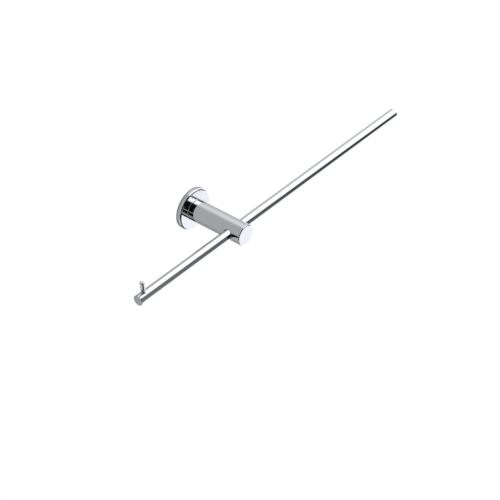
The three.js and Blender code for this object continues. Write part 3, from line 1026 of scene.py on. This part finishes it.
# Each panel of the studio is a brightness or a colour and the edges that bound it. An edge is a direction
# (right, out of the wall, up), the reach along it where the panel starts and the reach where it is full.
PANELS = [
    # the grey wall side, darkest straight behind
    (0.4, [(OUTWARD, 0.25, 0.05)]),
    (0.31, [(OUTWARD, 0.2, 0.0), (UPWARD, -0.5, -0.72), (TO_RIGHT, 0.12, -0.08)]),
    (0.14, [(OUTWARD, -0.62, -0.8), (TO_RIGHT, 0.5, 0.3)]),
    (0.6, [(OUTWARD, -0.54, -0.64), (UPWARD, -0.42, -0.52), (TO_RIGHT, -0.55, -0.45), (TO_RIGHT, 0.1, 0.0)]),
    (0.62, [((-0.6, -0.15, -0.786), 0.9, 0.97)]),
    (0.52, [(OUTWARD, 0.2, 0.0), (TO_RIGHT, 0.5, 0.68)]),
    # the dark front on the right, and a dull patch of floor on the left
    (0.2, [(OUTWARD, 0.0, 0.15), (TO_RIGHT, 0.78, 0.45), (TO_RIGHT, 0.1, 0.35)]),
    (0.28, [(OUTWARD, 0.1, 0.3), (UPWARD, -0.48, -0.64), (TO_RIGHT, -0.76, -0.58), (TO_RIGHT, -0.18, -0.38)]),
    # the light floor on the right, slightly blue towards the front
    ((0.96, 0.985, 1.04), [
        ((0, -0.682, -0.731), -0.09, 0.09),
        (TO_RIGHT, 0.28, 0.46),
        (OUTWARD, -0.5, -0.38),
    ]),
    ((1.14, 1.13, 1.12), [
        ((0, -0.34, -0.94), 0.26, 0.42),
        (TO_RIGHT, 0.28, 0.46),
        (OUTWARD, 0.2, 0.0),
        (OUTWARD, -0.5, -0.38),
    ]),
    # the big soft lamp above on the right, in two parts, with its glow on the wall side
    (0.75, [
        (OUTWARD, 0.2, 0.0),
        (OUTWARD, -0.68, -0.48),
        (UPWARD, 0.1, 0.65),
        (TO_RIGHT, 0.95, 0.6),
        (TO_RIGHT, -0.1, 0.35),
    ]),
    (1.15, [((0, -0.74, 0.67), -0.04, 0.05), (TO_RIGHT, -0.06, 0.26), (OUTWARD, -0.5, -0.34)]),
    (1.15, [
        ((0.661, -0.74, 0.125), -0.05, 0.05),
        (TO_RIGHT, 0.82, 0.71),
        (TO_RIGHT, -0.02, 0.2),
        (OUTWARD, -0.5, -0.34),
        (UPWARD, 0.0, 0.12),
    ]),
]


class Sky:
    """The world's light as a function of direction."""

    def __init__(self):
        world = bpy.data.worlds.new("studio")
        bpy.context.scene.world = world
        world.use_nodes = True
        self.tree = world.node_tree
        self.direction = self.tree.nodes.new("ShaderNodeTexCoord").outputs["Generated"]

    def reach(self, way):
        """How far a direction goes along a way given as (right, out, up)."""
        dot = self.tree.nodes.new("ShaderNodeVectorMath")
        dot.operation = "DOT_PRODUCT"
        right, out, up = way
        dot.inputs[1].default_value = (right, -out, up)
        self.tree.links.new(self.direction, dot.inputs[0])
        return dot.outputs["Value"]

    def ramp(self, value, start, full):
        """A smooth 0 to 1 from start to full."""
        ramp = self.tree.nodes.new("ShaderNodeMapRange")
        ramp.interpolation_type = "SMOOTHSTEP"
        ramp.inputs["From Min"].default_value = start
        ramp.inputs["From Max"].default_value = full
        self.tree.links.new(value, ramp.inputs["Value"])
        return ramp.outputs["Result"]

    def times(self, first, second):
        """The product of two values."""
        product = self.tree.nodes.new("ShaderNodeMath")
        product.operation = "MULTIPLY"
        self.tree.links.new(first, product.inputs[0])
        self.tree.links.new(second, product.inputs[1])
        return product.outputs[0]


def make_sky():
    """The room that the chrome mirrors. The camera itself sees plain white."""
    sky = Sky()
    light = tuple(TINT * DARK_ROOM)
    for colour, edges in PANELS:
        mask = None
        for way, start, full in edges:
            ramp = sky.ramp(sky.reach(way), start, full)
            mask = sky.times(mask, ramp) if mask else ramp
        over = colour if isinstance(colour, tuple) else tuple(TINT * colour)
        light = mixed(sky.tree, mask, light, over)
    seen = sky.tree.nodes.new("ShaderNodeLightPath").outputs["Is Camera Ray"]
    background = sky.tree.nodes["Background"]
    shown = mixed(sky.tree, seen, light, (1.0, 1.0, 1.0))
    sky.tree.links.new(shown, background.inputs["Color"])


def make_floor():
    """A plain pale floor well below the object, which the chrome doesn't mirror."""
    half = FLOOR_SIZE / 2
    level = cad_low[2] - FLOOR_DROP
    mesh = bpy.data.meshes.new("floor")
    corners = [(-half, -half, level), (half, -half, level), (half, half, level), (-half, half, level)]
    mesh.from_pydata(corners, [], [(0, 1, 2, 3)])
    material = bpy.data.materials.new("pale_floor")
    material.use_nodes = True
    shader = material.node_tree.nodes["Principled BSDF"]
    shader.inputs["Base Color"].default_value = (0, 0, 0, 1)
    shader.inputs["Emission Color"].default_value = (1, 1, 1, 1)
    shader.inputs["Emission Strength"].default_value = 1
    shader.inputs["Specular IOR Level"].default_value = 0
    mesh.materials.append(material)
    floor = bpy.data.objects.new("floor", mesh)
    bpy.context.scene.collection.objects.link(floor)
    floor.visible_glossy = False
    floor.visible_diffuse = False


def make_lamp():
    """A broad soft lamp overhead for the satin pieces, which the chrome doesn't mirror."""
    data = bpy.data.lights.new("overhead", "AREA")
    data.shape = "DISK"
    data.size = LAMP_SIZE
    data.energy = LAMP_POWER
    lamp = bpy.data.objects.new("overhead", data)
    lamp.location = LAMP_PLACE
    lamp.rotation_euler = (-LAMP_PLACE).to_track_quat("-Z", "Y").to_euler()
    lamp.visible_glossy = False
    bpy.context.scene.collection.objects.link(lamp)


def make_camera():
    """The photo's viewpoint: from the left, above, at a distance of about 1.6 m."""
    data = bpy.data.cameras.new("camera")
    data.lens = CAMERA_LENS
    data.sensor_width = SENSOR_WIDTH
    data.clip_end = CAMERA_FAR
    camera = bpy.data.objects.new("camera", data)
    back = Vector((
        math.sin(CAMERA_AZIMUTH) * math.cos(CAMERA_ELEVATION),
        -math.cos(CAMERA_AZIMUTH) * math.cos(CAMERA_ELEVATION),
        math.sin(CAMERA_ELEVATION),
    ))
    camera.location = CAMERA_AIM + back * CAMERA_DISTANCE
    camera.rotation_euler = (-back).to_track_quat("-Z", "Y").to_euler()
    bpy.context.scene.collection.objects.link(camera)
    bpy.context.scene.camera = camera


make_sky()
make_floor()
make_lamp()
make_camera()
bpy.context.scene.view_settings.view_transform = "Standard"
